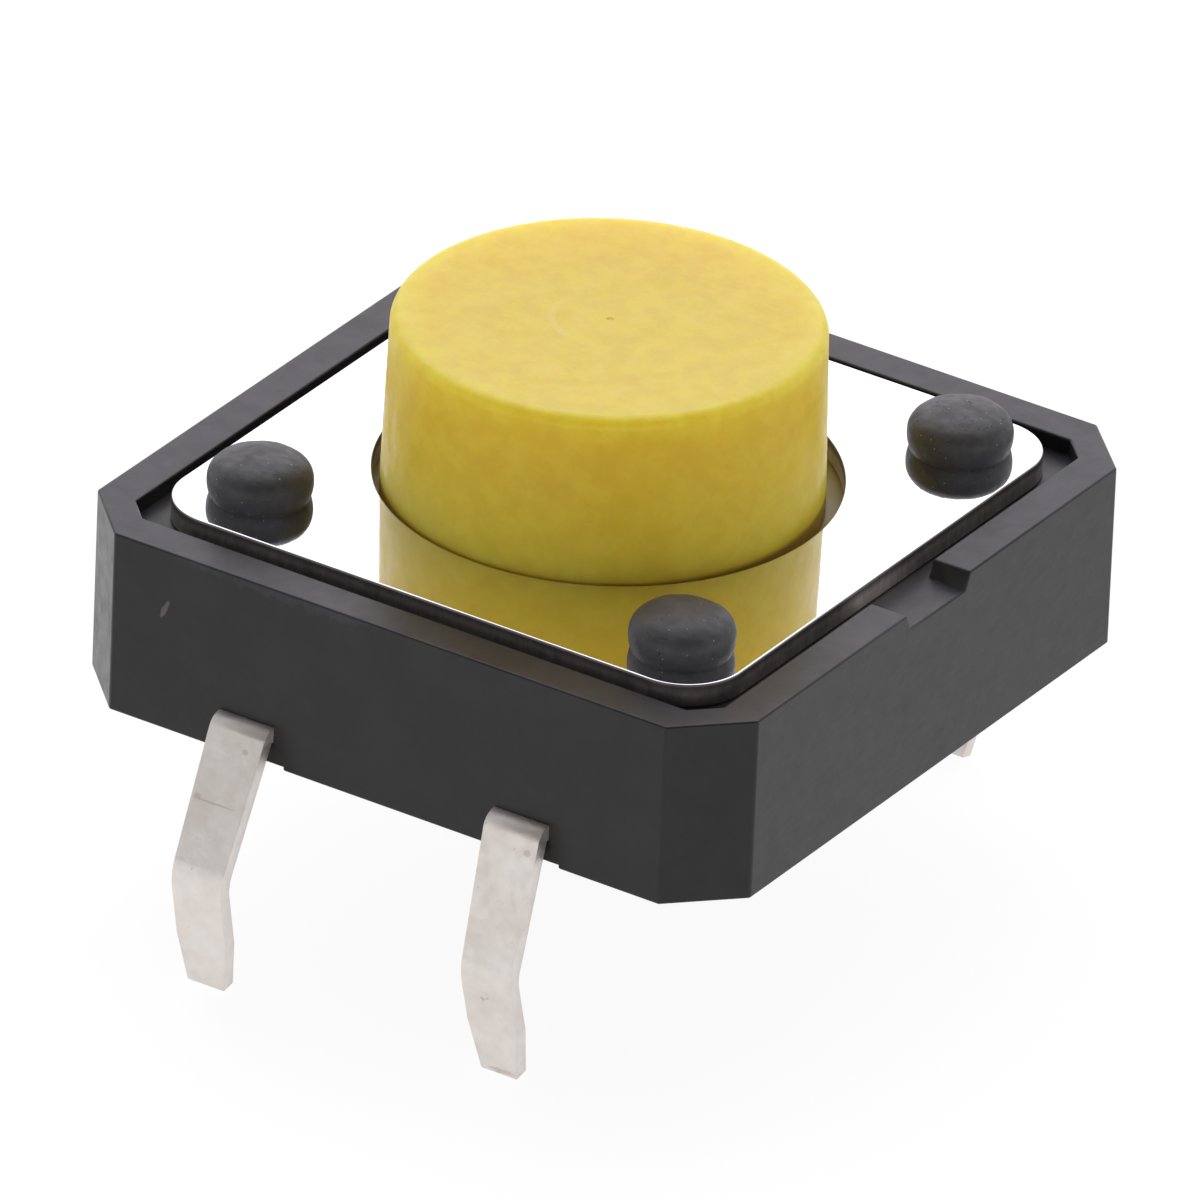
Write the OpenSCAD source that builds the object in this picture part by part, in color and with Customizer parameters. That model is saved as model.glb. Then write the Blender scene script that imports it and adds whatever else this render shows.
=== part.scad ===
// Tactile push button switch for through-hole boards, 12 mm square, with a round button.
// The origin is the centre of the underside, where the base sits on the board. Z points up,
// X runs along the two pins of one side, and Y runs across, from the front pins to the rear pins.

/* [Base] */
// Width and depth of the square base
body_w = 12.0; // [11.8:0.1:15]
// Height of the base, from the underside to the top of the rim
body_h = 3.05; // [2.9:0.05:4]
// Leg of the chamfer on each upright corner
corner_chamfer = 1.0; // [0.4:0.1:1.3]
// Width of the rim around the plate
rim_w = 0.67; // [0.5:0.01:0.8]
// Leg of the chamfer in each corner of the plate's pocket
pocket_chamfer = 0.4; // [0.2:0.05:0.5]
// Thickness of the floor under the dome
floor_t = 0.8; // [0.75:0.05:1]
// Height of the step where the wide cavity ends and the dome's well begins
step_z = 1.7; // [1.5:0.05:1.9]

/* [Recess in the rim] */
// Length of the recess along its floor
recess_l = 1.5; // [0.8:0.1:3]
// Depth of the recess below the rim
recess_d = 0.27; // [0.1:0.01:0.4]
// How much further each end reaches at the top than at the floor
recess_flare = 0.12; // [0:0.01:0.3]

/* [Posts and formed heads] */
// Distance from the plate's edge to a post's centre
post_inset = 1.17; // [1.1:0.01:1.4]
// Diameter of a post where it passes through the plate
post_d = 1.2; // [1.0:0.05:1.4]
// How far a formed head overhangs its post all round
head_lip = 0.22; // [0.12:0.01:0.25]
// Height of a formed head above the plate
head_h = 0.7; // [0.5:0.05:0.9]
// Height of a head's widest ring above the plate
head_belly_h = 0.25; // [0.1:0.05:0.3]
// How much a head narrows from its widest ring to its foot, all round
head_foot_in = 0.08; // [0.02:0.01:0.1]

/* [Cover plate] */
// Thickness of the plate
plate_t = 0.39; // [0.25:0.01:0.4]
// Height that the plate stands above the rim
plate_proud = 0.12; // [0.05:0.01:0.2]
// Gap between the plate and the pocket's wall
plate_gap = 0.26; // [0.1:0.01:0.3]
// Radius of the plate's corners
plate_corner_r = 1.0; // [0.8:0.05:1.5]
// Radial clearance of a post in its hole
post_gap = 0.03; // [0.02:0.01:0.05]

/* [Button] */
// Distance from the base's side to the button's side, where the button leaves the plate
button_inset = 2.6; // [2.5:0.01:3.2]
// Height of the button's top above the underside of the base
button_top_z = 5.91; // [4.3:0.01:13]
// How much narrower the button's side is at the top, on the diameter
button_draft = 0.13; // [0:0.01:0.4]
// Radius of the top edge
button_edge_r = 0.2; // [0.1:0.05:0.5]
// Depth of the shallow dish in the top
dish_d = 0.04; // [0.01:0.01:0.1]
// Diameter of the moulding mark in the middle of the top
mark_d = 0.12; // [0.1:0.02:1]
// Depth of the moulding mark
mark_depth = 0.02; // [0.01:0.01:0.05]
// Radial clearance between the button and the plate
button_gap = 0.2; // [0.1:0.01:0.3]
// How far the button sits aside from the centre, as a share of its clearance
button_aside = 0.75; // [0:0.05:0.9]
// Direction in which it sits aside, in degrees from +X towards +Y
button_aside_angle = -90; // [-180:5:180]
// How far the flange reaches under the plate beyond the hole
flange_lip = 0.55; // [0.3:0.05:0.6]
// Thickness of the flange
flange_t = 0.5; // [0.3:0.05:0.55]
// Gap between the flange and the plate at rest
flange_gap = 0.03; // [0.01:0.01:0.05]
// Radial clearance between the flange and the cavity
cavity_gap = 0.25; // [0.1:0.01:0.3]
// Diameter of the nub that presses the dome
nub_d = 2.0; // [1:0.1:3]
// Gap between the nub and the dome at rest
nub_gap = 0.01; // [0.01:0.01:0.02]
// Travel of the button
travel = 0.3; // [0.2:0.01:0.35]

/* [Snap dome] */
// Diameter of the dome
dome_d = 5.8; // [5:0.1:6]
// Thickness of its sheet
dome_t = 0.08; // [0.05:0.01:0.1]
// Radial clearance between the dome and its well
dome_gap = 0.3; // [0.1:0.05:0.4]

/* [Terminals] */
// Distance between the two pins of one side
pin_pitch = 5.0; // [4.8:0.1:6.5]
// Width of a terminal and of its pins at the wall
pin_w = 1.0; // [0.7:0.05:1.1]
// Width of a pin from its kink to where its tip narrows
pin_kink_w = 0.9; // [0.7:0.05:1.0]
// Width of a pin at its tip
pin_tip_w = 0.66; // [0.4:0.02:0.7]
// Thickness of the sheet
sheet_t = 0.25; // [0.2:0.01:0.3]
// Height of the terminals' upper face
sheet_top_z = 0.69; // [0.6:0.01:0.7]
// Depth of the pins' tips below the underside
pin_drop = 3.6; // [3:0.1:4.5]
// Depth below the underside where a pin starts to narrow to its tip
narrow_drop = 2.7; // [2.3:0.1:2.9]
// Depth of the kink below the underside
kink_drop = 1.75; // [1.2:0.05:2]
// Angle by which a pin leaves the wall, from straight down
out_angle = 14.5; // [5:0.5:20]
// Angle by which a pin returns below the kink, from straight down
return_angle = 15.5; // [0:0.5:20]
// Extra lean of the front left pin, which is bent outwards
front_left_lean = 11; // [0:1:15]
// Extra return of the front left pin below its kink
front_left_return = 7; // [0:1:10]
// Inner radius of the bend at the wall
shoulder_r = 0.04; // [0.02:0.01:0.1]
// Radius of the kink, at the middle of the sheet
kink_r = 0.7; // [0.3:0.1:1]
// Height of a contact above the floor
contact_h = 0.06; // [0.04:0.01:0.1]
// Diameter of a contact under the dome's edge
contact_d = 0.6; // [0.4:0.05:0.7]
// Distance from the dome's edge to the middle of an outer contact
contact_inset = 0.15; // [0.1:0.05:0.25]
// Diameter of the contact under the dome's middle
centre_contact_d = 0.9; // [0.5:0.1:1.2]
// Diameter of the pad that carries the middle contact
pad_d = 1.8; // [1.3:0.1:2.4]
// Width of the open ring that carries the outer contacts
ring_w = 0.7; // [0.5:0.05:0.8]
// Gap between the open ring and the other terminal
insulation_gap = 0.22; // [0.15:0.01:0.3]
// Height of the relief in the underside at each pin
relief_h = 0.08; // [0.04:0.01:0.15]
// How far a relief reaches past one side of its pin
relief_side = 0.2; // [0.1:0.02:0.6]
// How far a relief reaches in from the wall
relief_depth = 0.8; // [0.4:0.1:1.2]

/* [Hidden] */

round_fn = 96;
small_fn = 48;
arc_steps = 8;
// Overrun of a cutting shape past the face that it cuts
past = 0.5;

half_w = body_w / 2;
plate_w = body_w - 2 * rim_w - 2 * plate_gap;
plate_top_z = body_h + plate_proud;
pocket_z = plate_top_z - plate_t;
post_xy = plate_w / 2 - post_inset;
head_d = post_d + 2 * head_lip;

button_d = body_w - 2 * button_inset;
hole_d = button_d + 2 * button_gap;
flange_d = hole_d + 2 * flange_lip;
cavity_d = flange_d + 2 * cavity_gap;
flange_top_z = pocket_z - flange_gap;
flange_z = flange_top_z - flange_t;

// The dome's edge stands on the contacts, and its middle closes them at full travel
contact_z = floor_t + contact_h;
dome_rise = travel;
dome_top_z = contact_z + dome_rise + dome_t;
well_d = dome_d + 2 * dome_gap;
nub_z = dome_top_z + nub_gap;

sheet_z = sheet_top_z - sheet_t;
strip_x = pin_pitch / 2;
contact_r = dome_d / 2 - contact_inset;
ring_inner_r = contact_r - ring_w / 2;
ring_outer_r = contact_r + ring_w / 2;
// The open ring ends short of the centre terminal, with the insulation gap between them
ring_end_angle = acos((strip_x - pin_w / 2 - insulation_gap) / ring_outer_r);
// The outer contacts: one on the strip's side and two whose edges meet the ring's ends
contact_half_angle = asin(contact_d / 2 / contact_r);
end_contact_angle = ring_end_angle + contact_half_angle;
contact_angles = [end_contact_angle, 180, -end_contact_angle];

// Square with chamfered corners, from its half width and the chamfer's leg
module chamfered_square(half, leg) {
    polygon([
        [half - leg, -half], [half, -half + leg], [half, half - leg], [half - leg, half],
        [-half + leg, half], [-half, half - leg], [-half, -half + leg], [-half + leg, -half]
    ]);
}

// Square with round corners
module rounded_square(width, r) {
    flat = width - 2 * r;
    square([width, flat], center = true);
    square([flat, width], center = true);
    for (x = [-1, 1], y = [-1, 1]) {
        translate([x * flat / 2, y * flat / 2]) circle(r = r, $fn = small_fn);
    }
}

module at_posts() {
    for (x = [-1, 1], y = [-1, 1]) {
        translate([x * post_xy, y * post_xy, 0]) children();
    }
}

// Half profile of a formed head: from its foot on the plate it swells to its widest ring, and
// from there it closes as an ellipse
function head_profile() =
    let (
        a = head_d / 2,
        c = head_h - head_belly_h,
        steps = 2 * arc_steps
    )
    concat(
        [[0, 0]],
        [for (i = [0 : arc_steps - 1]) let (rest = 1 - i / arc_steps)
            [a - head_foot_in * rest * rest, head_belly_h * (1 - rest)]],
        [for (i = [0 : steps - 1]) let (t = 90 * i / steps)
            [a * cos(t), head_belly_h + c * sin(t)]],
        [[0, head_h]]
    );

// Post from the pocket's floor, with its formed head above the plate
module post() {
    translate([0, 0, pocket_z - past])
        cylinder(h = plate_t + past + head_belly_h, d = post_d, $fn = small_fn);
    translate([0, 0, plate_top_z]) rotate_extrude($fn = small_fn) polygon(head_profile());
}

module rim_recess() {
    floor_half = recess_l / 2;
    top_half = floor_half + recess_flare;
    slope = recess_flare / recess_d;
    translate([half_w - rim_w, 0, body_h]) rotate([90, 0, 90]) linear_extrude(rim_w + past)
        polygon([
            [-floor_half, -recess_d], [floor_half, -recess_d],
            [top_half + slope * past, past], [-top_half - slope * past, past]
        ]);
}

// Seen from its wall, a relief starts in line with its pin's left side and reaches past the right
module pin_reliefs() {
    for (turn = [0, 180], x = [-strip_x, strip_x]) {
        rotate(turn) translate([x - pin_w / 2, -half_w - past, -past])
            cube([pin_w + relief_side, relief_depth + past, relief_h + past]);
    }
}

module base() {
    color([0.23, 0.23, 0.24]) {
        difference() {
            linear_extrude(body_h) chamfered_square(half_w, corner_chamfer);
            translate([0, 0, pocket_z])
                linear_extrude(body_h) chamfered_square(half_w - rim_w, pocket_chamfer);
            translate([0, 0, step_z]) cylinder(h = body_h, d = cavity_d, $fn = round_fn);
            translate([0, 0, floor_t]) cylinder(h = body_h, d = well_d, $fn = round_fn);
            rim_recess();
            pin_reliefs();
            ring_stamping(half_w + past);
            centre_stamping(half_w + past);
        }
        at_posts() post();
    }
}

module cover_plate() {
    color([0.86, 0.87, 0.88]) translate([0, 0, pocket_z]) difference() {
        linear_extrude(plate_t) rounded_square(plate_w, plate_corner_r);
        translate([0, 0, -past]) cylinder(h = plate_t + 2 * past, d = hole_d, $fn = round_fn);
        at_posts() translate([0, 0, -past])
            cylinder(h = plate_t + 2 * past, d = post_d + 2 * post_gap, $fn = small_fn);
    }
}

// Half profile of the button, from the nub's tip on the axis, out round the flange, to the top
function button_profile() =
    let (
        base_r = button_d / 2,
        top_r = base_r - button_draft / 2,
        edge_r = top_r - button_edge_r,
        edge_z = button_top_z - button_edge_r,
        mark_r = mark_d / 2,
        mark_z = button_top_z - dish_d,
        fall = dish_d / (edge_r * edge_r - mark_r * mark_r)
    )
    concat(
        [[0, nub_z], [nub_d / 2, nub_z], [nub_d / 2, flange_z], [flange_d / 2, flange_z]],
        [[flange_d / 2, flange_top_z], [base_r, flange_top_z], [base_r, plate_top_z]],
        [for (i = [0 : arc_steps]) let (t = 90 * i / arc_steps)
            [edge_r + button_edge_r * cos(t), edge_z + button_edge_r * sin(t)]],
        [for (i = [1 : arc_steps]) let (r = edge_r + (mark_r - edge_r) * i / arc_steps)
            [r, mark_z + fall * (r * r - mark_r * mark_r)]],
        [[mark_r, mark_z - mark_depth], [0, mark_z - mark_depth]]
    );

module button() {
    aside = button_aside * min(button_gap, cavity_gap);
    place = aside * [cos(button_aside_angle), sin(button_aside_angle)];
    color([0.85, 0.73, 0.22]) translate([place[0], place[1], 0])
        rotate_extrude($fn = round_fn) polygon(button_profile());
}

// Height of the dome's underside at radius r, above its edge: a flat arch
function dome_lift(r) = dome_rise * (1 - pow(2 * r / dome_d, 2));

module snap_dome() {
    steps = 2 * arc_steps;
    radii = [for (i = [0 : steps]) dome_d / 2 * i / steps];
    under = [for (r = radii) [r, dome_lift(r)]];
    over = [for (i = [steps : -1 : 0]) [radii[i], dome_lift(radii[i]) + dome_t]];
    color([0.78, 0.76, 0.72]) translate([0, 0, contact_z])
        rotate_extrude($fn = round_fn) polygon(concat(under, over));
}

// A pin is a strip of sheet that follows a path. A pose on the path is [outward, height, heading],
// where a heading of 0 points straight out of the wall and 90 points straight down.
function forward(pose, run) =
    [pose[0] + run * cos(pose[2]), pose[1] - run * sin(pose[2]), pose[2]];

function turned(pose, turn, r) =
    [pose[0] + r * (sin(pose[2] + turn) - sin(pose[2])),
     pose[1] + r * (cos(pose[2] + turn) - cos(pose[2])),
     pose[2] + turn];

function bend(pose, turn, r) = [for (i = [1 : arc_steps]) turned(pose, turn * i / arc_steps, r)];

// The path of a pin that leans outwards and returns by extra angles. Its runs have the length
// that brings an upright pin's kink and tip to their depths.
function pin_path(lean, extra_return) =
    let (
        bend_r = shoulder_r + sheet_t / 2,
        start = [0, sheet_z + sheet_t / 2, 0],
        upright_end = turned(start, 90 - out_angle, bend_r),
        kink_turn = out_angle + return_angle,
        kink_tangent = kink_r * tan(kink_turn / 2),
        upper_run = (upright_end[1] + kink_drop) / cos(out_angle) - kink_tangent,
        lower_run = (pin_drop - kink_drop) / cos(return_angle) - kink_tangent,
        shoulder = bend(start, 90 - out_angle - lean, bend_r),
        above_kink = forward(shoulder[arc_steps - 1], upper_run),
        kink = bend(above_kink, kink_turn + extra_return, kink_r)
    )
    concat([[-past, start[1], 0], start], shoulder, [above_kink], kink,
        [forward(kink[arc_steps - 1], lower_run)]);

// One side of the sheet, at a distance to the left of the path
function beside(path, distance) =
    [for (p = path) [p[0] + distance * sin(p[2]), p[1] + distance * cos(p[2])]];

function reversed(points) = [for (i = [len(points) - 1 : -1 : 0]) points[i]];

// Half of a pin's outline as seen from its wall, on one side of its middle, from the tip up
function pin_side(side) =
    let (
        tip = pin_tip_w / 2,
        kink = pin_kink_w / 2,
        past_tip = tip - (kink - tip) * past / (pin_drop - narrow_drop),
        points = [
            [past_tip, -pin_drop - past], [kink, -narrow_drop], [kink, -kink_drop],
            [pin_w / 2, sheet_z], [pin_w / 2, body_h]
        ]
    )
    [for (p = points) [side * p[0], p[1]]];

module pin(lean = 0, extra_return = 0) {
    path = pin_path(lean, extra_return);
    outline = concat(beside(path, sheet_t / 2), reversed(beside(path, -sheet_t / 2)));
    reach = pin_drop;
    intersection() {
        translate([-pin_w / 2, half_w, 0]) rotate([90, 0, 90]) linear_extrude(pin_w) polygon(outline);
        translate([0, half_w + reach, 0]) rotate([90, 0, 0]) linear_extrude(reach + past)
            polygon(concat(pin_side(1), reversed(pin_side(-1))));
    }
}

// Straight strip across the base, at the height of the sheet
module strip(half_l) {
    translate([-pin_w / 2, -half_l, sheet_z]) cube([pin_w, 2 * half_l, sheet_t]);
}

module contact(d) {
    translate([0, 0, sheet_z]) cylinder(h = contact_z - sheet_z, d = d, $fn = small_fn);
}

// The flat part of the ring terminal: a strip, and an open ring with three contacts
module ring_stamping(half_l) {
    translate([-strip_x, 0, 0]) strip(half_l);
    translate([0, 0, sheet_z]) linear_extrude(sheet_t) difference() {
        circle(r = ring_outer_r, $fn = round_fn);
        circle(r = ring_inner_r, $fn = round_fn);
        polygon([
            [0, 0],
            2 * ring_outer_r * [cos(ring_end_angle), -sin(ring_end_angle)],
            2 * ring_outer_r * [1, -tan(ring_end_angle) / 2],
            2 * ring_outer_r * [1, tan(ring_end_angle) / 2],
            2 * ring_outer_r * [cos(ring_end_angle), sin(ring_end_angle)]
        ]);
    }
    for (a = contact_angles) {
        rotate(a) translate([contact_r, 0, 0]) contact(contact_d);
    }
}

// The flat part of the centre terminal: a strip, and a tongue that ends in a round pad
module centre_stamping(half_l) {
    translate([strip_x, 0, 0]) strip(half_l);
    translate([0, -pin_w / 2, sheet_z]) cube([strip_x, pin_w, sheet_t]);
    translate([0, 0, sheet_z]) cylinder(h = sheet_t, d = pad_d, $fn = small_fn);
    contact(centre_contact_d);
}

// A front pin and a rear pin in line, at the two walls
module pin_pair(front_lean = 0, front_return = 0) {
    mirror([0, 1, 0]) pin(front_lean, front_return);
    pin();
}

module ring_terminal() {
    color([0.82, 0.80, 0.78]) {
        ring_stamping(half_w);
        translate([-strip_x, 0, 0]) pin_pair(front_left_lean, front_left_return);
    }
}

module centre_terminal() {
    color([0.80, 0.79, 0.78]) {
        centre_stamping(half_w);
        translate([strip_x, 0, 0]) pin_pair();
    }
}

base();
cover_plate();
button();
snap_dome();
ring_terminal();
centre_terminal();
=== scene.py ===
"""Looks of a 12 mm tactile push button switch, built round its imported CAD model.

Lengths are metres. A name that ends in _MM is in millimetres, and textures work in millimetres.
"""

import math

import bmesh
import bpy
from mathutils import Matrix, Vector, noise

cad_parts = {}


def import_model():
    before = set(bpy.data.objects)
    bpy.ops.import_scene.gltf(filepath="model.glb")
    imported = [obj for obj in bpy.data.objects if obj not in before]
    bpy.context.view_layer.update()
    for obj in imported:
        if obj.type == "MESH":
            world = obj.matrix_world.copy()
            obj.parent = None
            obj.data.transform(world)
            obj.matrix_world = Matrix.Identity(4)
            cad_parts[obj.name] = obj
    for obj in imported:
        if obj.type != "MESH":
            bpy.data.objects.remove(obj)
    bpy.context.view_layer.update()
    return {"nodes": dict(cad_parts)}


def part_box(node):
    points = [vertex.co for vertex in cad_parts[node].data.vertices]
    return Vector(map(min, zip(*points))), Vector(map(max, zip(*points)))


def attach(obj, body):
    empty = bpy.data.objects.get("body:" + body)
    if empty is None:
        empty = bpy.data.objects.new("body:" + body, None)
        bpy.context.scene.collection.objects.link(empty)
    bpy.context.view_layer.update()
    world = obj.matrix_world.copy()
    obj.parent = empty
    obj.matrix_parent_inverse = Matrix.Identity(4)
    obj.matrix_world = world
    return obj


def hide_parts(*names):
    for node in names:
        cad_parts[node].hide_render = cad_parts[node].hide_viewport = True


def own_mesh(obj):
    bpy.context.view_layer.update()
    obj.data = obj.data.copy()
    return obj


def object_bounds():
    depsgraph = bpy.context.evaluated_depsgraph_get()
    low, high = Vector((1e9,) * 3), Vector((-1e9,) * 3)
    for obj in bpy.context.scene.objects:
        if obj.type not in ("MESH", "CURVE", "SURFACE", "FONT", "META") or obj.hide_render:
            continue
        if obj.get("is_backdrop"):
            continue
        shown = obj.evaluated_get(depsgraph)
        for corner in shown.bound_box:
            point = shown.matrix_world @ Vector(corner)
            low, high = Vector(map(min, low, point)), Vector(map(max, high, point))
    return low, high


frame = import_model()

MM = 0.001
IMAGE_PX = 1200

# The camera, fitted to the corners and the far edges of the base in the photograph
CAMERA_AZIMUTH = math.radians(32.31)
CAMERA_ELEVATION = math.radians(28.84)
CAMERA_ROLL = math.radians(2.41)
CAMERA_DISTANCE = 438 * MM
PX_PER_MM = 65.511
ORIGIN_PX = (600.9, 654.0)
SENSOR_MM = 36
CLIP_NEAR, CLIP_FAR = 0.01, 3

# Sizes that the pieces share with the CAD model
BASE_LOW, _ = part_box("base")
PLATE_LOW, PLATE_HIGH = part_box("cover_plate")
BUTTON_LOW, BUTTON_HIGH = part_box("button")
DOME_LOW, DOME_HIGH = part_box("snap_dome")
RIM_Z = 3.05 * MM
RIM_W = 0.67 * MM
POST_XY = PLATE_HIGH.x - 1.17 * MM
POST_R = 0.6 * MM
POST_GAP = 0.03 * MM
HEAD_R = 0.82 * MM
HEAD_H = 0.7 * MM
HEAD_BELLY_H = 0.25 * MM
HEAD_FOOT_IN = 0.05 * MM
# Power of the sine and cosine in a head's profile: 1 is an ellipse, less is boxier
HEAD_FULLNESS = 0.78
PLATE_CORNER_R = 1.0 * MM
BUTTON_AXIS = ((BUTTON_LOW.x + BUTTON_HIGH.x) / 2, (BUTTON_LOW.y + BUTTON_HIGH.y) / 2)
BUTTON_R = 3.4 * MM
BUTTON_GAP = 0.2 * MM
BUTTON_TOP_R = BUTTON_R - 0.065 * MM
BUTTON_EDGE_R = 0.2 * MM
FLANGE_TOP_Z = PLATE_LOW.z - 0.03 * MM
FLANGE_T = 0.5 * MM
NUB_R = 1.0 * MM
DISH_D = 0.04 * MM
MARK_R = 0.06 * MM
MARK_DEPTH = 0.02 * MM
DOME_T = 0.08 * MM

# Finish of the edges
PLASTIC_EDGE_R = 0.04 * MM
PLATE_EDGE_R = 0.035 * MM
PIN_EDGE_R = 0.025 * MM
SEAM = 1e-7
SHARP = math.radians(30)
FLAT = math.radians(0.5)
# Edges of the base between these heights belong to the pin holes, and stay sharp
PIN_HOLES_LOW, PIN_HOLES_HIGH = 0.01 * MM, 0.75 * MM

# Segments round a circle, and steps along a profile
HOLE_SEGMENTS = 256
BUTTON_SEGMENTS = 256
DOME_SEGMENTS = 128
HEAD_SEGMENTS = 96
POST_HOLE_SEGMENTS = 96
POST_SEGMENTS = 48
PLATE_CORNER_STEPS = 24
HEAD_DOME_STEPS = 24
HEAD_SIDE_STEPS = 8
BUTTON_EDGE_STEPS = 16
BUTTON_SIDE_STEPS = 13
DISH_STEPS = 40
DOME_STEPS = 32

# How far the hot tool pushed each head aside, by its corner
HEAD_SHIFTS_MM = {(-1, -1): (0.07, 0.09), (1, -1): (0.05, -0.08), (1, 1): (-0.07, 0.02),
                  (-1, 1): (0.03, -0.04)}
# The middle of the stretch where the rim's edge is scuffed
WORN_PLACE_MM = (-1.9, -6.0, 3.0)
# Light scuffs on the walls: the middle, the half lengths, and the turn about Y in degrees
SCUFFS_MM = [((-4.05, -6.0, 2.05), (0.05, 0.5, 0.19), 24)]
# Brown smudges on the front pins, in the same terms
SMUDGES_MM = [
    ((-2.27, -6.27, 0.33), (0.07, 0.5, 0.05), 0),
    ((-2.88, -6.5, -0.45), (0.1, 0.5, 0.06), 0),
    ((-2.5, -6.5, -0.48), (0.42, 0.5, 0.02), 0),
    ((-3.0, -6.9, -1.6), (0.07, 0.5, 0.11), 0),
    ((2.84, -6.25, 0.3), (0.07, 0.5, 0.06), 0),
    ((2.56, -6.5, -3.55), (0.3, 0.5, 0.05), 0),
]


def new_piece(name, bm, material, body, replaced, flat_top=None):
    """A shown piece from a bmesh, smooth but for its sharp edges, riding on a body.

    It stands in for the CAD nodes in replaced. Where flat_top gives a height, the faces at that
    height stay perfectly flat in the shading.
    """
    bmesh.ops.recalc_face_normals(bm, faces=bm.faces)
    for face in bm.faces:
        face.smooth = True
    for edge in bm.edges:
        steep = len(edge.link_faces) == 2 and edge.calc_face_angle(0) > SHARP
        tops = [all(abs(v.co.z - flat_top) < SEAM for v in face.verts) if flat_top else False
                for face in edge.link_faces]
        edge.smooth = not steep and len(set(tops)) < 2
    mesh = bpy.data.meshes.new(name)
    bm.to_mesh(mesh)
    bm.free()
    mesh.materials.append(material)
    piece = bpy.data.objects.new(name, mesh)
    bpy.context.scene.collection.objects.link(piece)
    weighted = piece.modifiers.new("weighted_normals", "WEIGHTED_NORMAL")
    weighted.keep_sharp = True
    weighted.weight = 100
    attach(piece, body)
    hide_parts(*replaced)
    return piece


def bmesh_of(node):
    """A CAD node's mesh with its seams closed."""
    bm = bmesh.new()
    bm.from_mesh(frame["nodes"][node].data)
    bmesh.ops.remove_doubles(bm, verts=bm.verts, dist=SEAM)
    return bm


def make_flat_faces_whole(bm):
    bmesh.ops.dissolve_limit(bm, angle_limit=FLAT, verts=bm.verts, edges=bm.edges)


def round_edges(bm, radius, wanted, segments=3):
    """Rounds the convex sharp edges that wanted(edge) picks."""
    picked = [
        e for e in bm.edges
        if len(e.link_faces) == 2 and e.calc_face_angle_signed(0) > SHARP and wanted(e)
    ]
    bmesh.ops.bevel(
        bm, geom=picked, offset=radius, segments=segments, profile=0.5,
        affect="EDGES", clamp_overlap=True, offset_type="OFFSET",
    )


def revolved(bm, profile, segments, centre=(0, 0)):
    """Adds a closed solid of revolution. The profile runs from the axis to the axis."""
    rings = []
    for r, z in profile:
        if r < SEAM:
            rings.append([bm.verts.new((centre[0], centre[1], z))])
            continue
        ring = []
        for i in range(segments):
            a = 2 * math.pi * i / segments
            x, y = centre[0] + r * math.cos(a), centre[1] + r * math.sin(a)
            ring.append(bm.verts.new((x, y, z)))
        rings.append(ring)
    for low, high in zip(rings, rings[1:]):
        for i in range(segments):
            corners = [low[i % len(low)], low[(i + 1) % len(low)],
                       high[(i + 1) % len(high)], high[i % len(high)]]
            bm.faces.new(list(dict.fromkeys(corners)))


def arc(centre, radii, start, end, steps):
    """Points along an elliptic arc, both ends included. Angles are degrees."""
    points = []
    for i in range(steps + 1):
        a = math.radians(start + (end - start) * i / steps)
        points.append((centre[0] + radii[0] * math.cos(a), centre[1] + radii[1] * math.sin(a)))
    return points


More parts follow.
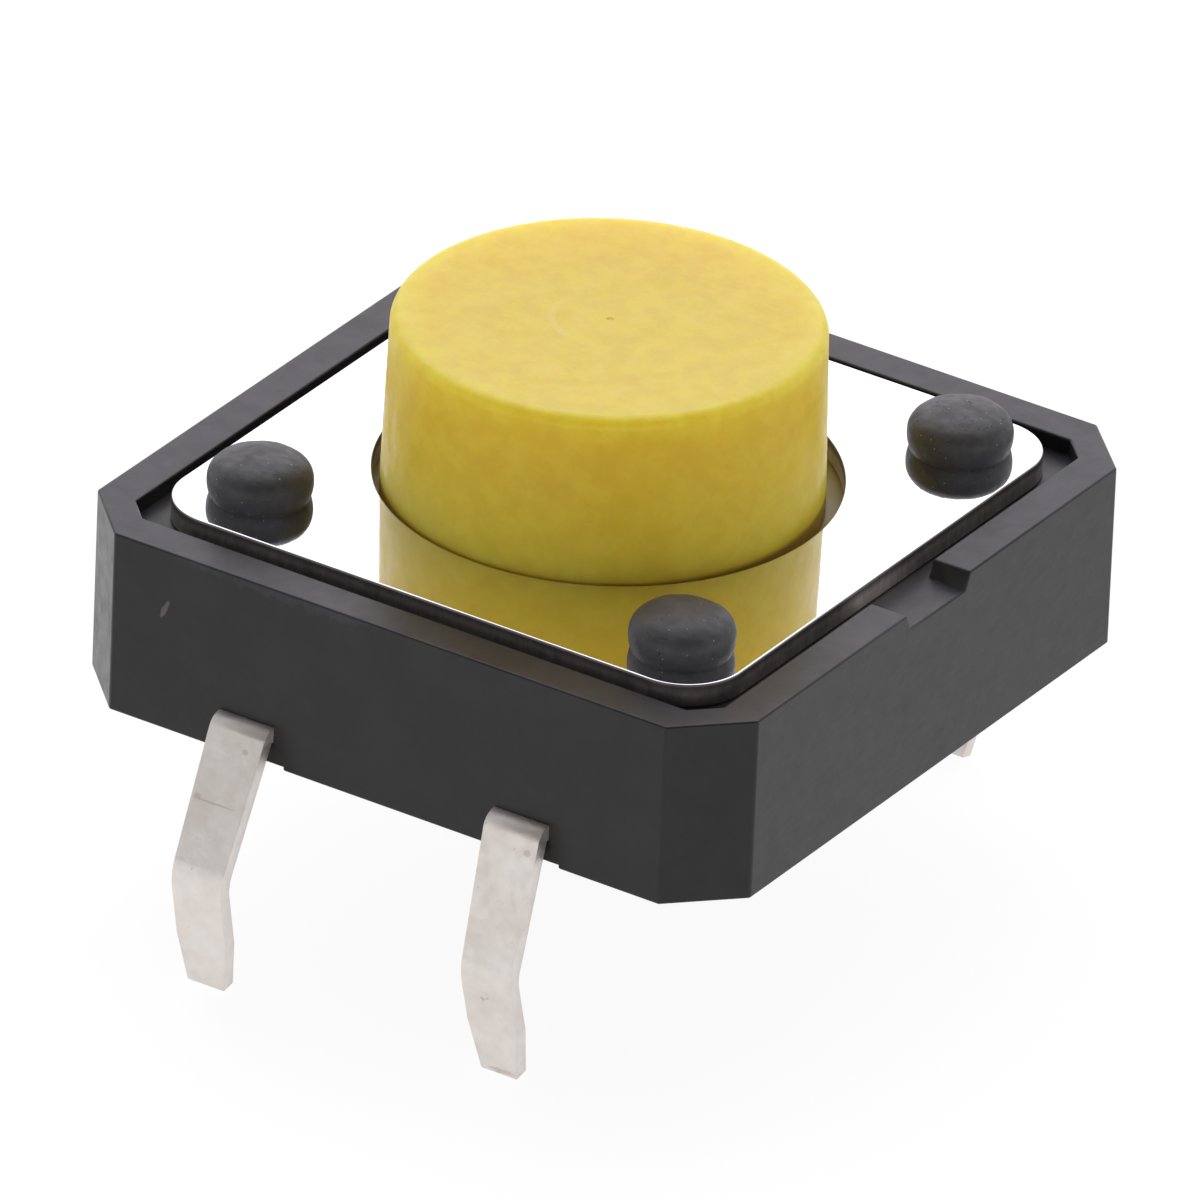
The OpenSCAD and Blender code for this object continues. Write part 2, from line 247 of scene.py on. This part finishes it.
class Graph:
    """Short ways to add nodes to a material or a world."""

    def __init__(self, owner):
        owner.use_nodes = True
        self.tree = owner.node_tree
        self.tree.nodes.clear()

    def node(self, kind, inputs=None, **settings):
        made = self.tree.nodes.new("ShaderNode" + kind)
        for key, value in settings.items():
            setattr(made, key, value)
        for key, value in (inputs or {}).items():
            if isinstance(value, bpy.types.NodeSocket):
                self.tree.links.new(value, made.inputs[key])
            else:
                made.inputs[key].default_value = value
        return made

    def point(self):
        """The place on the piece, in millimetres."""
        return self.stretched(self.node("TexCoord").outputs["Object"], (1 / MM,) * 3)

    def stretched(self, vector, by):
        return self.node("VectorMath", {0: vector, 1: by}, operation="MULTIPLY").outputs[0]

    def noise(self, vector, scale, detail=3.0, rough=0.5):
        made = self.node("TexNoise", {"Vector": vector, "Scale": scale, "Detail": detail,
                                      "Roughness": rough})
        return made.outputs["Fac"]

    def cells(self, vector, scale):
        return self.node("TexVoronoi", {"Vector": vector, "Scale": scale}).outputs["Distance"]

    def math(self, operation, a, b=0.0):
        return self.node("Math", {0: a, 1: b}, operation=operation).outputs[0]

    def spread(self, value, low, high, to_low=0.0, to_high=1.0):
        """Maps low..high smoothly to to_low..to_high, held at both ends."""
        made = self.node("MapRange", {"Value": value, "From Min": low, "From Max": high,
                                      "To Min": to_low, "To Max": to_high},
                         interpolation_type="SMOOTHSTEP")
        return made.outputs["Result"]

    def blend(self, share, a, b):
        made = self.node("Mix", data_type="RGBA")
        for key, value in (("Factor", share), ("A", a), ("B", b)):
            socket = next(s for s in made.inputs if s.name == key and s.enabled)
            if isinstance(value, bpy.types.NodeSocket):
                self.tree.links.new(value, socket)
            else:
                socket.default_value = value
        return next(s for s in made.outputs if s.enabled)

    def bump(self, height, depth_mm, normal=None):
        inputs = {"Height": height, "Distance": depth_mm * MM, "Strength": 1.0}
        if normal is not None:
            inputs["Normal"] = normal
        return self.node("Bump", inputs).outputs["Normal"]

    def parts_of(self, vector):
        return self.node("SeparateXYZ", {0: vector}).outputs

    def distance(self, vector, place):
        made = self.node("VectorMath", {0: vector, 1: place}, operation="DISTANCE")
        return made.outputs["Value"]

    def worn_edge(self, point):
        """Where the rim's upper edge is scuffed: a ragged band, widest along one stretch."""
        below = self.math("SUBTRACT", RIM_Z / MM, self.parts_of(point)[2])
        width = self.spread(self.distance(point, WORN_PLACE_MM), 0.4, 2.6, 0.16, 0.02)
        ragged = self.math("MULTIPLY", width, self.spread(self.noise(point, 4.0, 4.0, 0.6),
                                                          0.3, 0.7, 0.5, 1.4))
        return self.spread(self.math("SUBTRACT", ragged, below), -0.04, 0.06)

    def scuff(self, point, place, reach, turn):
        """A faint broken streak round a place."""
        moved = self.node("VectorMath", {0: point, 1: place}, operation="SUBTRACT").outputs[0]
        level = self.node("VectorRotate", {"Vector": moved, "Angle": math.radians(-turn)},
                          rotation_type="Y_AXIS").outputs[0]
        far = self.distance(self.stretched(level, [1 / r for r in reach]), (0, 0, 0))
        ragged = self.math("ADD", far, self.noise(point, 9.0, 3.0))
        return self.spread(ragged, 1.1, 1.6, 0.55, 0.0)

    def finish(self, shader, kind="OutputMaterial"):
        self.node(kind, {"Surface": shader})


def srgb(red, green, blue):
    """A colour from its 0 to 255 screen values."""
    linear = [c / 255 / 12.92 if c <= 10 else ((c / 255 + 0.055) / 1.055) ** 2.4
              for c in (red, green, blue)]
    return (*linear, 1.0)


def new_graph(name):
    material = bpy.data.materials.new(name)
    return material, Graph(material)


def black_plastic():
    """Glossy black moulding with a fine grain. Its upward faces are a little matter, and their
    colour is painted lighter as painted light from above.
    """
    material, g = new_graph("black_plastic")
    p = g.point()
    up = g.parts_of(g.node("TexCoord").outputs["Normal"])[2]
    upward_painted_light_and_matte = g.spread(up, 0.6, 0.95)
    cloudy = g.spread(g.noise(p, 1.1, 4.0, 0.6), 0.35, 0.7)
    # Painted light: side is the black of faces that look sideways, and top is a lighter copy for
    # upward faces, as light from above would make them.
    side = g.blend(cloudy, srgb(25, 25, 26), srgb(33, 32, 32))
    top = g.blend(cloudy, srgb(38, 36, 40), srgb(52, 49, 53))
    # Upward faces take the lighter top colour as painted light; the scuffed band of the rim takes
    # it as real wear.
    colour = g.blend(g.math("MAXIMUM", upward_painted_light_and_matte, g.worn_edge(p)), side, top)
    for place, reach, turn in SCUFFS_MM:
        colour = g.blend(g.scuff(p, place, reach, turn), colour, srgb(120, 114, 106))
    grain = g.noise(p, 26.0, 2.0)
    flow = g.noise(g.stretched(p, (1.0, 1.0, 3.0)), 2.5, 3.0)
    rough = g.spread(g.noise(p, 3.0, 5.0, 0.65), 0.3, 0.75, 0.28, 0.38)
    rough = g.math("ADD", rough, g.math("MULTIPLY", upward_painted_light_and_matte, 0.05))
    normal = g.bump(flow, 0.003)
    normal = g.bump(grain, 0.0012, normal)
    shader = g.node("BsdfPrincipled", {"Base Color": colour, "Roughness": rough, "IOR": 1.41,
                                       "Normal": normal})
    g.finish(shader.outputs[0])
    return material


def head_plastic():
    """The same moulding where a hot tool has formed it: greyer, matte and pitted."""
    material, g = new_graph("head_plastic")
    p = g.point()
    cloudy = g.spread(g.noise(p, 2.2, 5.0, 0.65), 0.35, 0.7)
    colour = g.blend(cloudy, srgb(54, 52, 55), srgb(69, 67, 70))
    pits = g.spread(g.cells(p, 7.0), 0.05, 0.13)
    colour = g.blend(pits, srgb(20, 20, 22), colour)
    dust = g.spread(g.cells(g.stretched(p, (1.3, 1.1, 1.2)), 5.0), 0.05, 0.1, 1.0, 0.0)
    colour = g.blend(g.math("MULTIPLY", dust, 0.5), colour, srgb(170, 166, 170))
    rough = g.spread(g.noise(p, 6.0, 4.0), 0.3, 0.7, 0.46, 0.58)
    normal = g.bump(g.noise(p, 5.0, 5.0, 0.6), 0.012)
    normal = g.bump(pits, 0.008, normal)
    shader = g.node("BsdfPrincipled", {"Base Color": colour, "Roughness": rough, "IOR": 1.52,
                                       "Normal": normal})
    g.finish(shader.outputs[0])
    return material


def bright_plate():
    """Bright plated sheet with faint wipe marks. Its cut walls are dull and brownish, and painted
    darker towards their top as painted shade from the rim.
    """
    material, g = new_graph("bright_plate")
    p = g.point()
    z = g.parts_of(p)[2]
    top = PLATE_HIGH.z / MM
    wall = g.spread(z, top - 0.012, top - 0.001, 1.0, 0.0)
    torn = g.spread(g.noise(g.stretched(p, (4.0, 4.0, 1.5)), 2.0, 4.0, 0.6), 0.3, 0.7)
    # Painted shade: the cut walls are painted darker towards the plate's top, as the rim's shade
    # would make them.
    painted_shade_near_top = g.spread(z, top - 0.2, top - 0.05)
    cut = g.blend(painted_shade_near_top, srgb(226, 218, 212), srgb(128, 122, 120))
    cut = g.blend(g.math("MULTIPLY", torn, 0.3), cut, srgb(90, 82, 78))
    colour = g.blend(wall, srgb(228, 229, 236), cut)
    rolled = g.noise(g.stretched(p, (1.0, 14.0, 1.0)), 1.6, 4.0, 0.6)
    rough = g.spread(g.noise(p, 1.7, 6.0, 0.7), 0.35, 0.75, 0.02, 0.06)
    rough = g.math("ADD", rough, g.math("MULTIPLY", wall, 0.4))
    normal = g.bump(g.noise(p, 9.0, 3.0), 0.0001)
    normal = g.bump(rolled, 0.00012, normal)
    shader = g.node("BsdfPrincipled", {"Base Color": colour, "Metallic": 1.0,
                                       "Roughness": rough, "Normal": normal})
    g.finish(shader.outputs[0])
    return material


def yellow_plastic():
    """Satin yellow moulding, painted dark brown below the plate as painted shade in the gap, with
    a faint swirl by the mark on top.
    """
    material, g = new_graph("yellow_plastic")
    p = g.point()
    x, y, z = g.parts_of(p)[0:3]
    x = g.math("SUBTRACT", x, BUTTON_AXIS[0] / MM)
    y = g.math("SUBTRACT", y, BUTTON_AXIS[1] / MM)
    radius = g.math("SQRT", g.math("ADD", g.math("MULTIPLY", x, x), g.math("MULTIPLY", y, y)))
    wave = g.math("SINE", g.math("MULTIPLY", radius, 16.0))
    near_mark = g.spread(radius, 0.9, 1.4, 1.0, 0.0)
    one_side = g.spread(g.math("ADD", x, y), -1.1, -0.2, 1.0, 0.0)
    patchy = g.spread(g.noise(p, 1.6, 3.0), 0.42, 0.6)
    swirl = g.math("MULTIPLY", g.spread(wave, 0.2, 1.0), g.math("MULTIPLY", near_mark, patchy))
    swirl = g.math("MULTIPLY", swirl, one_side)
    mottle = g.noise(p, 2.6, 5.0, 0.62)
    colour = g.blend(g.spread(mottle, 0.3, 0.7), srgb(233, 203, 52), srgb(240, 214, 63))
    colour = g.blend(g.math("MULTIPLY", swirl, 0.2), colour, srgb(246, 234, 170))
    # Painted shade: below the plate's top the colour turns dark brown, as the shade in the gap
    # would make it.
    painted_gap_shade = g.spread(z, PLATE_HIGH.z / MM - 0.1, PLATE_HIGH.z / MM + 0.03, 0.75, 0.0)
    colour = g.blend(painted_gap_shade, colour, srgb(150, 122, 74))
    rough = g.spread(g.noise(p, 4.0, 4.0), 0.3, 0.7, 0.36, 0.5)
    normal = g.bump(g.noise(p, 14.0, 4.0, 0.6), 0.003)
    normal = g.bump(swirl, 0.002, normal)
    shader = g.node("BsdfPrincipled", {"Base Color": colour, "Roughness": rough, "IOR": 1.5,
                                       "Subsurface Weight": 0.9,
                                       "Subsurface Radius": (1.0, 0.6, 0.15),
                                       "Subsurface Scale": 1.8 * MM, "Normal": normal})
    g.finish(shader.outputs[0])
    return material


def tinned_sheet():
    """Dull tin plate on brass, cream in places, with brown smudges where it was bent."""
    material, g = new_graph("tinned_sheet")
    p = g.point()
    cloudy = g.spread(g.noise(p, 1.6, 4.0, 0.6), 0.3, 0.7)
    colour = g.blend(cloudy, srgb(228, 220, 214), srgb(237, 231, 227))
    smudge = g.spread(g.noise(p, 3.1, 5.0, 0.7), 0.64, 0.74)
    colour = g.blend(g.math("MULTIPLY", smudge, 0.6), colour, srgb(150, 122, 106))
    for place, reach, turn in SMUDGES_MM:
        mark = g.math("MULTIPLY", g.scuff(p, place, reach, turn), 0.5)
        colour = g.blend(mark, colour, srgb(140, 112, 98))
    rough = g.spread(g.noise(p, 5.0, 4.0), 0.3, 0.7, 0.42, 0.56)
    drawn = g.noise(g.stretched(p, (9.0, 9.0, 1.0)), 2.0, 4.0, 0.6)
    normal = g.bump(drawn, 0.002)
    normal = g.bump(g.noise(p, 7.0, 4.0), 0.004, normal)
    shader = g.node("BsdfPrincipled", {"Base Color": colour, "Metallic": 0.85, "Roughness": rough,
                                       "Normal": normal})
    g.finish(shader.outputs[0])
    return material


def spring_steel():
    """Satin stainless spring sheet."""
    material, g = new_graph("spring_steel")
    p = g.point()
    rolled = g.noise(g.stretched(p, (1.0, 20.0, 1.0)), 2.0, 4.0, 0.6)
    colour = g.blend(rolled, srgb(196, 194, 190), srgb(214, 212, 208))
    rough = g.spread(rolled, 0.3, 0.7, 0.22, 0.34)
    shader = g.node("BsdfPrincipled", {"Base Color": colour, "Metallic": 1.0, "Roughness": rough,
                                       "Normal": g.bump(rolled, 0.001)})
    g.finish(shader.outputs[0])
    return material


def base_shell(material):
    """The moulding without its posts, its outer edges softened as a mould leaves them."""
    bm = bmesh_of("base")
    above_rim = RIM_Z + PLASTIC_EDGE_R
    bmesh.ops.delete(bm, geom=[v for v in bm.verts if v.co.z > above_rim], context="VERTS")
    bmesh.ops.holes_fill(bm, edges=[e for e in bm.edges if e.is_boundary], sides=0)
    bmesh.ops.recalc_face_normals(bm, faces=bm.faces)
    make_flat_faces_whole(bm)
    outer = -BASE_LOW.x - RIM_W

    def outer_edge(edge):
        middle = (edge.verts[0].co + edge.verts[1].co) / 2
        on_rim = max(abs(v.co.x) for v in edge.verts) > outer - SEAM or \
            max(abs(v.co.y) for v in edge.verts) > outer - SEAM
        in_hole = PIN_HOLES_LOW < middle.z < PIN_HOLES_HIGH
        return on_rim and not in_hole

    round_edges(bm, PLASTIC_EDGE_R, outer_edge)
    return new_piece("base_shell", bm, material, "housing", ["base"])


def formed_heads(material):
    """The four posts and their heads, each pressed a little differently."""
    bm = bmesh.new()
    belly_z = PLATE_HIGH.z + HEAD_BELLY_H
    side = []
    for i in range(HEAD_SIDE_STEPS):
        rest = 1 - i / HEAD_SIDE_STEPS
        side.append((HEAD_R - HEAD_FOOT_IN * rest * rest, belly_z - HEAD_BELLY_H * rest))
    dome = []
    for i in range(HEAD_DOME_STEPS + 1):
        a = math.pi / 2 * i / HEAD_DOME_STEPS
        dome.append((HEAD_R * math.cos(a) ** HEAD_FULLNESS,
                     belly_z + (HEAD_H - HEAD_BELLY_H) * math.sin(a) ** HEAD_FULLNESS))
    head = [(0, PLATE_HIGH.z), *side, *dome[:-1], (0, PLATE_HIGH.z + HEAD_H)]
    post = [(0, PLATE_LOW.z), (POST_R, PLATE_LOW.z), (POST_R, belly_z), (0, belly_z)]
    for (x, y), (aside_x, aside_y) in HEAD_SHIFTS_MM.items():
        revolved(bm, post, POST_SEGMENTS, (x * POST_XY, y * POST_XY))
        centre = (x * POST_XY + aside_x * MM, y * POST_XY + aside_y * MM)
        revolved(bm, head, HEAD_SEGMENTS, centre)
    for v in bm.verts:
        height = (v.co.z - PLATE_HIGH.z) / HEAD_H
        if height > 0.05:
            uneven = noise.noise(v.co / (0.45 * MM)) + 0.4 * noise.noise(v.co / (0.16 * MM))
            v.co.z -= (0.012 + 0.02 * uneven) * MM * min(1, height)
    return new_piece("formed_heads", bm, material, "housing", ["base"])


def ring_of(bm, points, z):
    verts = [bm.verts.new((x, y, z)) for x, y in points]
    return [bm.edges.new((verts[i - 1], verts[i])) for i in range(len(verts))]


def circle_of(bm, centre, radius, segments, z):
    points = arc(centre, (radius, radius), 0, 360 - 360 / segments, segments - 1)
    return ring_of(bm, points, z)


def cover_plate(material):
    """The stamped plate, its edges rolled over by the die."""
    bm = bmesh.new()
    flat = PLATE_HIGH.x - PLATE_CORNER_R
    outline = []
    for i, (x, y) in enumerate([(1, 1), (-1, 1), (-1, -1), (1, -1)]):
        outline += arc((x * flat, y * flat), (PLATE_CORNER_R,) * 2, 90 * i, 90 * i + 90,
                       PLATE_CORNER_STEPS)
    edges = ring_of(bm, outline, PLATE_LOW.z)
    edges += circle_of(bm, (0, 0), BUTTON_R + BUTTON_GAP, HOLE_SEGMENTS, PLATE_LOW.z)
    for x in (-1, 1):
        for y in (-1, 1):
            edges += circle_of(bm, (x * POST_XY, y * POST_XY), POST_R + POST_GAP,
                               POST_HOLE_SEGMENTS, PLATE_LOW.z)
    bmesh.ops.triangle_fill(bm, edges=edges, use_beauty=True)
    grown = bmesh.ops.extrude_face_region(bm, geom=bm.faces[:])
    lifted = [v for v in grown["geom"] if isinstance(v, bmesh.types.BMVert)]
    bmesh.ops.translate(bm, verts=lifted, vec=(0, 0, PLATE_HIGH.z - PLATE_LOW.z))
    bmesh.ops.recalc_face_normals(bm, faces=bm.faces)
    round_edges(bm, PLATE_EDGE_R, lambda edge: True, segments=6)
    return new_piece("bright_cover", bm, material, "housing", ["cover_plate"],
                     PLATE_HIGH.z)


def button(material):
    """The plunger, from its nub to its shallow dished top."""
    top_z = BUTTON_HIGH.z
    edge_r = BUTTON_TOP_R - BUTTON_EDGE_R
    corner = arc((edge_r, top_z - BUTTON_EDGE_R), (BUTTON_EDGE_R,) * 2, 0, 90, BUTTON_EDGE_STEPS)
    flange_r = BUTTON_HIGH.x - BUTTON_AXIS[0]
    lower = [(0, BUTTON_LOW.z), (NUB_R, BUTTON_LOW.z), (NUB_R, FLANGE_TOP_Z - FLANGE_T),
             (flange_r, FLANGE_TOP_Z - FLANGE_T), (flange_r, FLANGE_TOP_Z),
             (BUTTON_R, FLANGE_TOP_Z)]
    side = []
    for i in range(BUTTON_SIDE_STEPS):
        share = i / BUTTON_SIDE_STEPS
        z = PLATE_HIGH.z + (top_z - BUTTON_EDGE_R - PLATE_HIGH.z) * share
        side.append((BUTTON_R + (BUTTON_TOP_R - BUTTON_R) * share, z))
    dish = []
    for i in range(1, DISH_STEPS + 1):
        r = edge_r + (MARK_R - edge_r) * i / DISH_STEPS
        fall = DISH_D * (1 - (r * r - MARK_R * MARK_R) / (edge_r * edge_r - MARK_R * MARK_R))
        dish.append((r, top_z - fall))
    floor_z = top_z - DISH_D - MARK_DEPTH
    mark = [(MARK_R * 0.86, floor_z + MARK_DEPTH * 0.25), (MARK_R * 0.7, floor_z), (0, floor_z)]
    bm = bmesh.new()
    revolved(bm, lower + side + corner + dish + mark, BUTTON_SEGMENTS, BUTTON_AXIS)
    return new_piece("button_cap", bm, material, "plunger", ["button"])


def snap_dome(material):
    """The click dome, shown at rest; the real one flattens as the button goes down."""
    rise = DOME_HIGH.z - DOME_LOW.z - DOME_T
    radius = DOME_HIGH.x
    under, over = [], []
    for i in range(DOME_STEPS + 1):
        r = radius * i / DOME_STEPS
        z = DOME_LOW.z + rise * (1 - (r / radius) ** 2)
        under.append((r, z))
        over.append((r, z + DOME_T))
    bm = bmesh.new()
    revolved(bm, under + over[::-1], DOME_SEGMENTS)
    piece = new_piece("click_dome", bm, material, "housing", ["snap_dome"])
    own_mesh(piece)
    return piece


def terminal(node, material):
    """A stamped terminal with its two pins, the sheet's edges slightly rounded."""
    bm = bmesh_of(node)
    make_flat_faces_whole(bm)
    wall = -BASE_LOW.y

    def outside(edge):
        return max(abs(v.co.y) for v in edge.verts) > wall + SEAM

    round_edges(bm, PIN_EDGE_R, outside, segments=2)
    return new_piece(node + "_sheet", bm, material, "housing", [node])


def build_object():
    plastic = black_plastic()
    tinned = tinned_sheet()
    base_shell(plastic)
    formed_heads(head_plastic())
    cover_plate(bright_plate())
    button(yellow_plastic())
    snap_dome(spring_steel())
    terminal("ring_terminal", tinned)
    terminal("centre_terminal", tinned)


FLOOR_HALF = 0.5
FLOOR_GAP = 0.01 * MM
FLOOR_GLOW = 0.92


def pale_floor():
    """A matte white floor, which the camera and gloss see near white, with a faint shadow."""
    material, g = new_graph("pale_floor")
    p = g.point()
    paper = g.spread(g.noise(p, 0.4, 4.0), 0.3, 0.7, 0.0, 1.0)
    colour = g.blend(paper, srgb(240, 240, 239), srgb(244, 244, 243))
    matte = g.node("BsdfDiffuse", {"Color": colour})
    soft = g.node("BsdfDiffuse", {"Color": srgb(105, 105, 105)})
    glow = g.node("Emission", {"Color": (1, 1, 1, 1), "Strength": FLOOR_GLOW})
    seen = g.node("AddShader", {0: soft.outputs[0], 1: glow.outputs[0]})
    ray = g.node("LightPath").outputs
    eye = g.math("MAXIMUM", ray["Is Camera Ray"], ray["Is Glossy Ray"])
    eye = g.math("MAXIMUM", eye, ray["Is Transmission Ray"])
    both = g.node("MixShader", {0: eye, 1: matte.outputs[0], 2: seen.outputs[0]})
    g.finish(both.outputs[0])
    return material


def floor():
    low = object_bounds()[0]
    bpy.ops.mesh.primitive_plane_add(size=2 * FLOOR_HALF, location=(0, 0, low.z - FLOOR_GAP))
    plane = bpy.context.object
    plane.name = "floor"
    plane.data.materials.append(pale_floor())
    plane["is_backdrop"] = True


def camera_axes():
    """Right, up and back of the fitted camera, before it turns to centre the frame."""
    a, e, roll = CAMERA_AZIMUTH, CAMERA_ELEVATION, CAMERA_ROLL
    back = Vector((math.sin(a) * math.cos(e), -math.cos(a) * math.cos(e), math.sin(e)))
    right = Vector((math.cos(a), math.sin(a), 0))
    up = back.cross(right)
    return (right * math.cos(roll) + up * math.sin(roll),
            up * math.cos(roll) - right * math.sin(roll), back)


def camera():
    right, up, back = camera_axes()
    aside = (ORIGIN_PX[0] - IMAGE_PX / 2) / PX_PER_MM * MM
    below = (ORIGIN_PX[1] - IMAGE_PX / 2) / PX_PER_MM * MM
    target = up * below - right * aside
    place = back * CAMERA_DISTANCE
    z_axis = (place - target).normalized()
    x_axis = (right - z_axis * right.dot(z_axis)).normalized()
    y_axis = z_axis.cross(x_axis)
    data = bpy.data.cameras.new("camera")
    data.sensor_width = SENSOR_MM
    data.lens = PX_PER_MM * CAMERA_DISTANCE / MM / IMAGE_PX * SENSOR_MM
    data.clip_start = CLIP_NEAR
    data.clip_end = CLIP_FAR
    made = bpy.data.objects.new("camera", data)
    turn = Matrix((x_axis, y_axis, z_axis)).transposed().to_4x4()
    made.matrix_world = Matrix.Translation(place) @ turn
    bpy.context.scene.collection.objects.link(made)
    bpy.context.scene.camera = made


# The studio: a softbox that the plate mirrors, a light over it, a dim front, and a bright sweep at
# the horizon. A reach is the cosine to a light's middle where its edge begins, and where it ends.
SOFTBOX = Vector((-0.471, 0.740, 0.480)).normalized()
SOFTBOX_COLOUR = (1.8, 1.76, 1.88)
BACK = Vector((-0.537, 0.843, 0))
SOFTBOX_REACH = (0.8, 0.93)
OVERHEAD = Vector((-0.399, 0.627, 0.669))
OVERHEAD_REACH = (0.66, 0.95)
BACK_REACH = (-0.5, 0.6)
FRONT_LEVEL = 0.08
BACK_LEVEL = 1.0
OVERHEAD_LEVEL = 2.7
HORIZON_LEVEL = 1.0
# The sine of the height where the bright sweep begins to fade, and where it has gone
HORIZON_FADE = (0.3, 0.42)


def world():
    """White for the camera. Light and gloss come from the studio described above."""
    made = bpy.data.worlds.new("studio")
    bpy.context.scene.world = made
    g = Graph(made)
    way = g.node("TexCoord").outputs["Generated"]

    def along(direction):
        made = g.node("VectorMath", {0: way, 1: direction}, operation="DOT_PRODUCT")
        return made.outputs["Value"]

    height = g.parts_of(way)[2]
    level = g.spread(along(BACK), *BACK_REACH, FRONT_LEVEL, BACK_LEVEL)
    overhead = g.spread(along(OVERHEAD), *OVERHEAD_REACH, FRONT_LEVEL, OVERHEAD_LEVEL)
    horizon = g.spread(height, *HORIZON_FADE, HORIZON_LEVEL, FRONT_LEVEL)
    level = g.math("MAXIMUM", g.math("MAXIMUM", level, overhead), horizon)
    grey = g.node("CombineColor", {0: level, 1: level, 2: level}).outputs[0]
    light = g.blend(g.spread(along(SOFTBOX), *SOFTBOX_REACH), grey, (*SOFTBOX_COLOUR, 1))
    eye = g.node("LightPath").outputs["Is Camera Ray"]
    sky = g.node("Background", {"Color": g.blend(eye, light, (1, 1, 1, 1)), "Strength": 1.0})
    g.finish(sky.outputs[0], "OutputWorld")


def studio():
    world()
    floor()
    bpy.context.scene.view_settings.view_transform = "Standard"


camera()
build_object()
studio()
